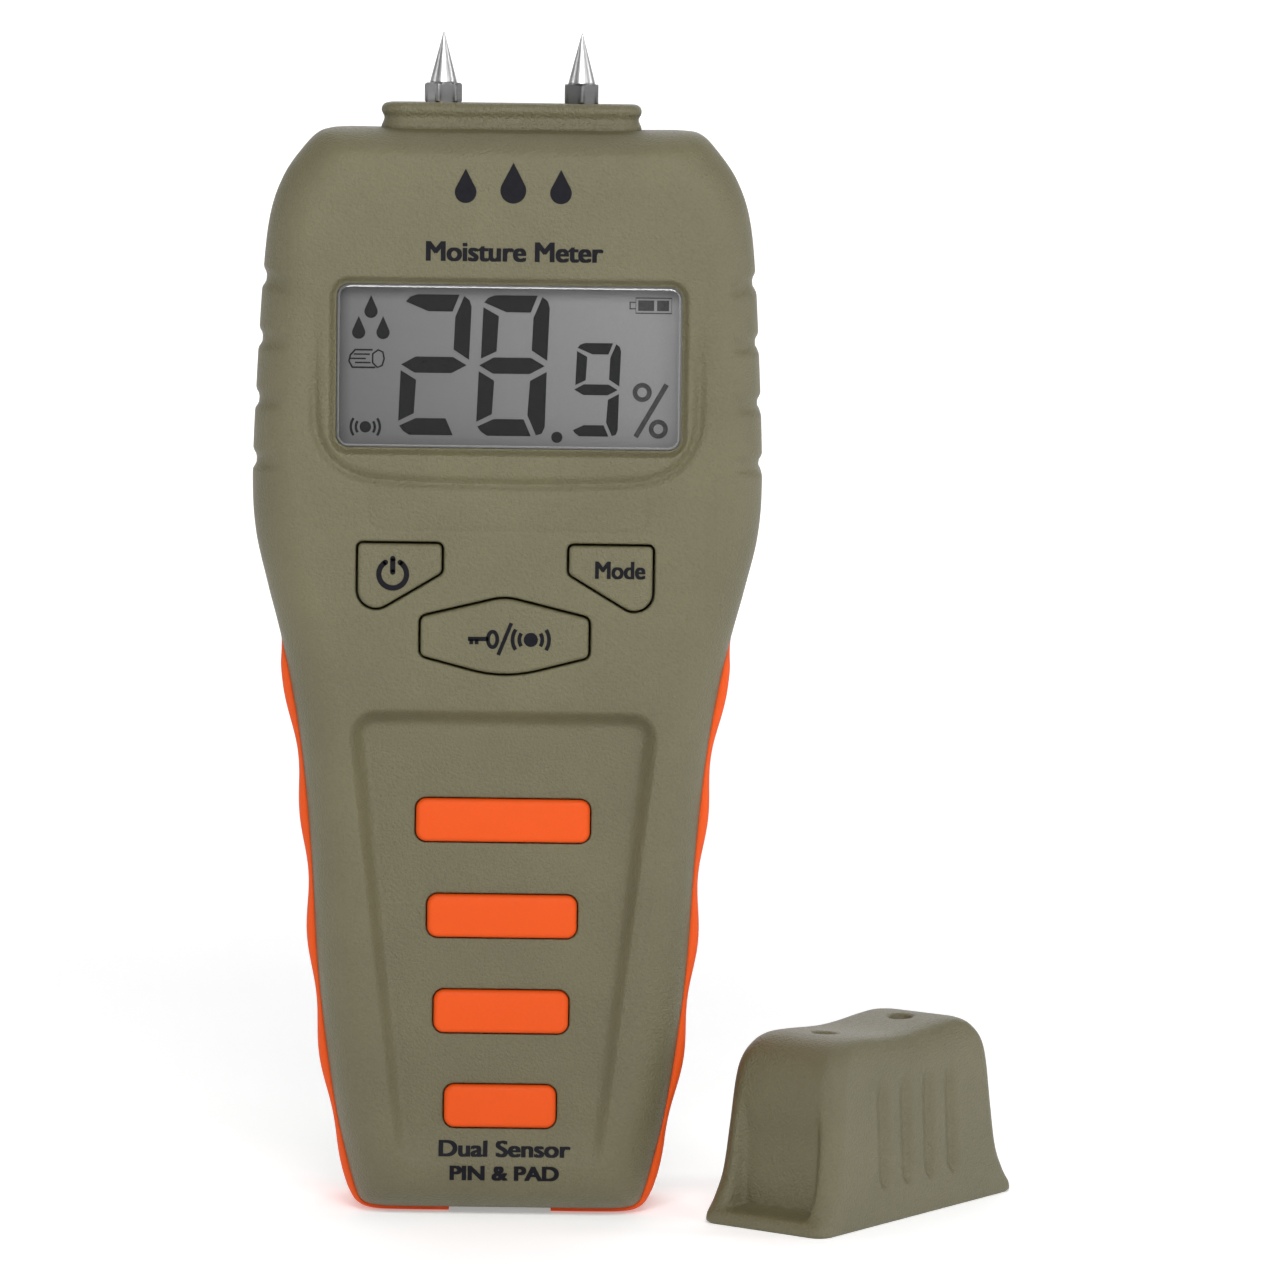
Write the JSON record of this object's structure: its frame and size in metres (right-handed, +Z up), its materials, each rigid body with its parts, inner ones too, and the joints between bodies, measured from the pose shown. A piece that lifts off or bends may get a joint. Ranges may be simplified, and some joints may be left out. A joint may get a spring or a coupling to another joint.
{
  "type": "moisture meter",
  "caption": "Hand-held moisture meter with screw-in pin electrodes, contact sensor back, display, keys, rubber grips, hinged battery door and loose pin cap.",
  "frame": {"origin": "middle of the case's lower end, on the floor the meter stands on", "axes": "+X to the meter's right-hand side as its face is looked at, +Y from the face towards the back, +Z up along the case to the pins"},
  "size_m": [0.1159, 0.0536, 0.1765],
  "materials": {
    "case_plastic": "matte olive, fine spark texture",
    "grip_rubber": "matte orange",
    "pin_steel": "satin",
    "screw_steel": "satin",
    "brass": "satin",
    "copper_foil": "satin",
    "clear_window": "clear, polished",
    "lcd_glass": "grey, polished",
    "black_plastic": "matte black",
    "white_plastic": "milky",
    "strip_rubber": "matte",
    "board": "green solder mask",
    "chip_plastic": "matte black",
    "key_rubber": "matte grey",
    "battery_skin": "satin black",
    "wire_skin": "satin",
    "resistor_skin": "satin"
  },
  "bodies": {
    "case": {"front_shell": "case_plastic", "rear_shell": "case_plastic", "left_grip": "grip_rubber", "right_grip": "grip_rubber", "pad_insert": "grip_rubber", "pin_collar": "case_plastic", "pin_sockets": "brass", "left_pin": "pin_steel", "right_pin": "pin_steel", "window_lens": "clear_window", "lcd_glass": "lcd_glass", "lcd_frame": "black_plastic", "lcd_backlight": "white_plastic", "lcd_connector": "strip_rubber", "main_board": "board", "board_chips": "chip_plastic", "buzzer": "black_plastic", "key_mat": "key_rubber", "power_dome": "key_rubber", "mode_dome": "key_rubber", "hold_dome": "key_rubber", "battery": "battery_skin", "battery_studs": "pin_steel", "battery_snap": "black_plastic", "battery_leads": "wire_skin", "sensor_plate": "copper_foil", "sensor_lead": "wire_skin", "pin_leads": "wire_skin", "case_screws": "screw_steel", "board_screws": "screw_steel"},
    "power_button": {"power_key": "case_plastic"},
    "mode_button": {"mode_key": "case_plastic"},
    "hold_button": {"hold_key": "case_plastic"},
    "door": {"battery_door": "case_plastic"},
    "cap": {"cap_shell": "case_plastic", "cap_insert": "black_plastic", "cap_contacts": "brass", "cap_resistor": "resistor_skin"}
  },
  "joints": [
    {"name": "power_press", "type": "slide", "parent": "case", "child": "power_button", "axis": [0, 1, 0], "range_m": [0, 0.0008], "stiffness_N_per_m": 900, "deforming": ["power_dome"]},
    {"name": "mode_press", "type": "slide", "parent": "case", "child": "mode_button", "axis": [0, 1, 0], "range_m": [0, 0.0008], "stiffness_N_per_m": 900, "deforming": ["mode_dome"]},
    {"name": "hold_press", "type": "slide", "parent": "case", "child": "hold_button", "axis": [0, 1, 0], "range_m": [0, 0.0008], "stiffness_N_per_m": 900, "deforming": ["hold_dome"]},
    {"name": "door_hinge", "type": "hinge", "parent": "case", "child": "door", "pos_m": [0, 0.0138, 0.062], "axis": [1, 0, 0], "range_deg": [0, 90]},
    {"name": "cap_lift", "type": "slide", "parent": "case", "child": "cap", "axis": [0.6, 0, 0.8], "range_m": [0, 0.15]}
  ]
}
